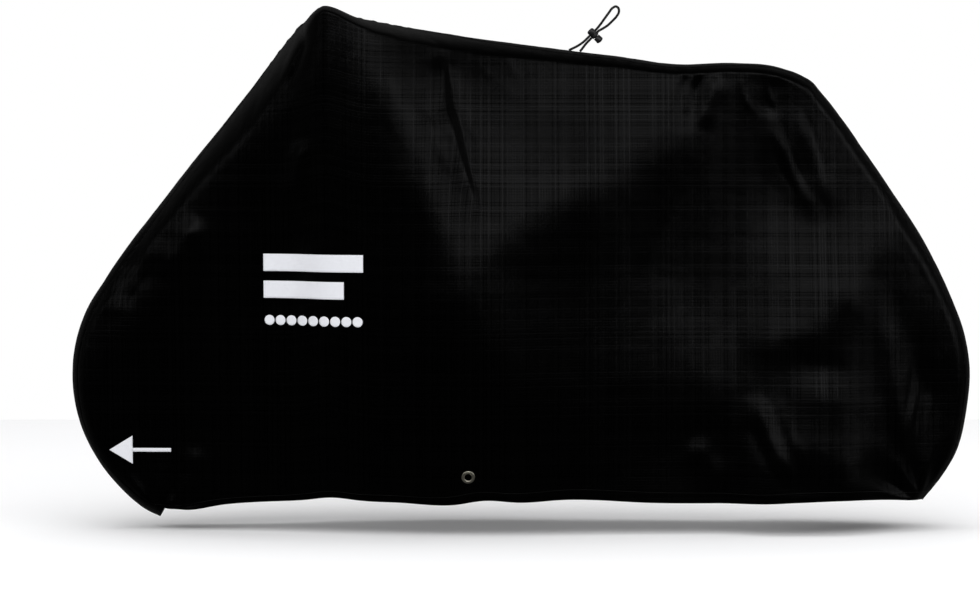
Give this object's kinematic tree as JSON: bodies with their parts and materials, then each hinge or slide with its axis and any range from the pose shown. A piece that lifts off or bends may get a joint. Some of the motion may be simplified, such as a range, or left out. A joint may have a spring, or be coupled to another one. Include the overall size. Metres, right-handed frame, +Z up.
{
  "type": "bicycle cover",
  "caption": "Fitted light cloth cover in its shape on an upright bicycle, open below, with gathered hem corners, lock eyelets and a shock cord loop with a cord lock.",
  "frame": {"origin": "under the peak of the centre strip, on the middle plane, where the handlebar's stem holds the cloth up", "axes": "+X from the front wheel to the rear wheel, +Y to the bicycle's right-hand side, +Z up"},
  "size_m": [1.8961, 0.5858, 1.0787],
  "materials": {
    "cloth": "black coated ripstop cloth, semi-gloss",
    "eyelet": "aged brass",
    "cord": "black braided elastic cord",
    "cord_lock": "black moulded plastic"
  },
  "bodies": {
    "root": {"left_side_panel": "cloth", "right_side_panel": "cloth", "centre_strip": "cloth", "left_eyelet": "eyelet", "right_eyelet": "eyelet", "shock_cord": "cord", "cord_lock_barrel": "cord_lock", "cord_lock_button": "cord_lock"}
  },
  "joints": []
}
